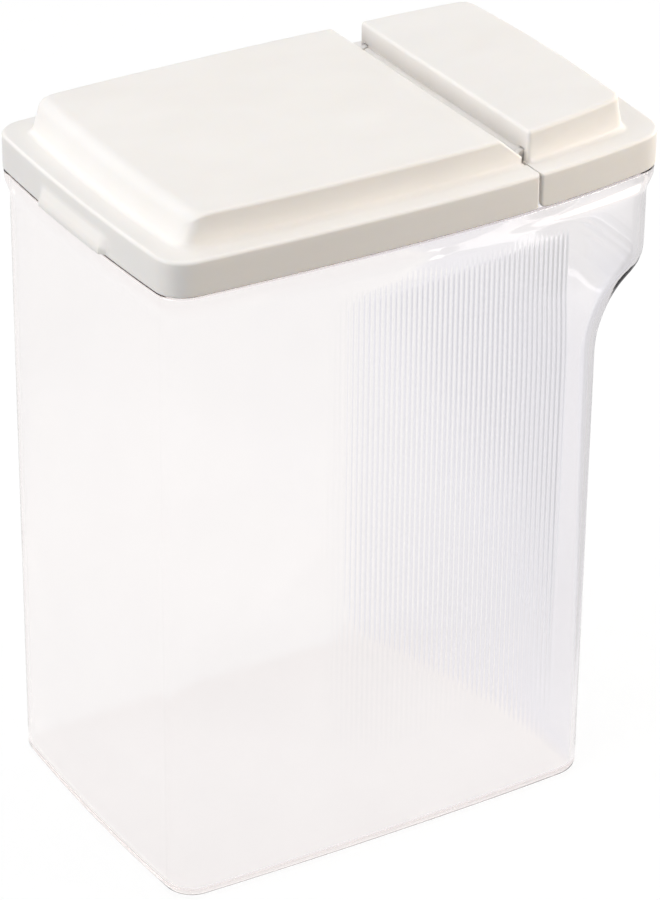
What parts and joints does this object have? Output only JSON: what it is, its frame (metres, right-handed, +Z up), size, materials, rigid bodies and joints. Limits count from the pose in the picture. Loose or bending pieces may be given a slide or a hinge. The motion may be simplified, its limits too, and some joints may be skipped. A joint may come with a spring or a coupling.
{
  "type": "food canister",
  "caption": "Clear rectangular food canister with a leaning pour spout, an off-white lift-off lid and a flip-up hatch over the spout.",
  "frame": {"origin": "centre of the whole object's footprint, on the surface it stands on", "axes": "+Z up, +X along the length towards the pour spout, Y across"},
  "size_m": [0.2288, 0.1446, 0.2934],
  "materials": {
    "clear_plastic": "clear, polished",
    "lid_plastic": "off-white, fine satin gloss",
    "seal_rubber": "soft translucent white, matte"
  },
  "bodies": {
    "container": {"container_body": "clear_plastic"},
    "lid": {"lid_cover": "lid_plastic", "lid_seal": "seal_rubber"},
    "hatch": {"hatch_flap": "lid_plastic", "hatch_seal": "seal_rubber"}
  },
  "joints": [
    {"name": "lid_lift", "type": "slide", "parent": "container", "child": "lid", "axis": [0, 0, 1], "range_m": [0, 0.055]},
    {"name": "hatch_hinge", "type": "hinge", "parent": "lid", "child": "hatch", "pos_m": [0.0485, 0, 0.2792], "axis": [0, -1, 0], "range_deg": [0, 42]}
  ]
}
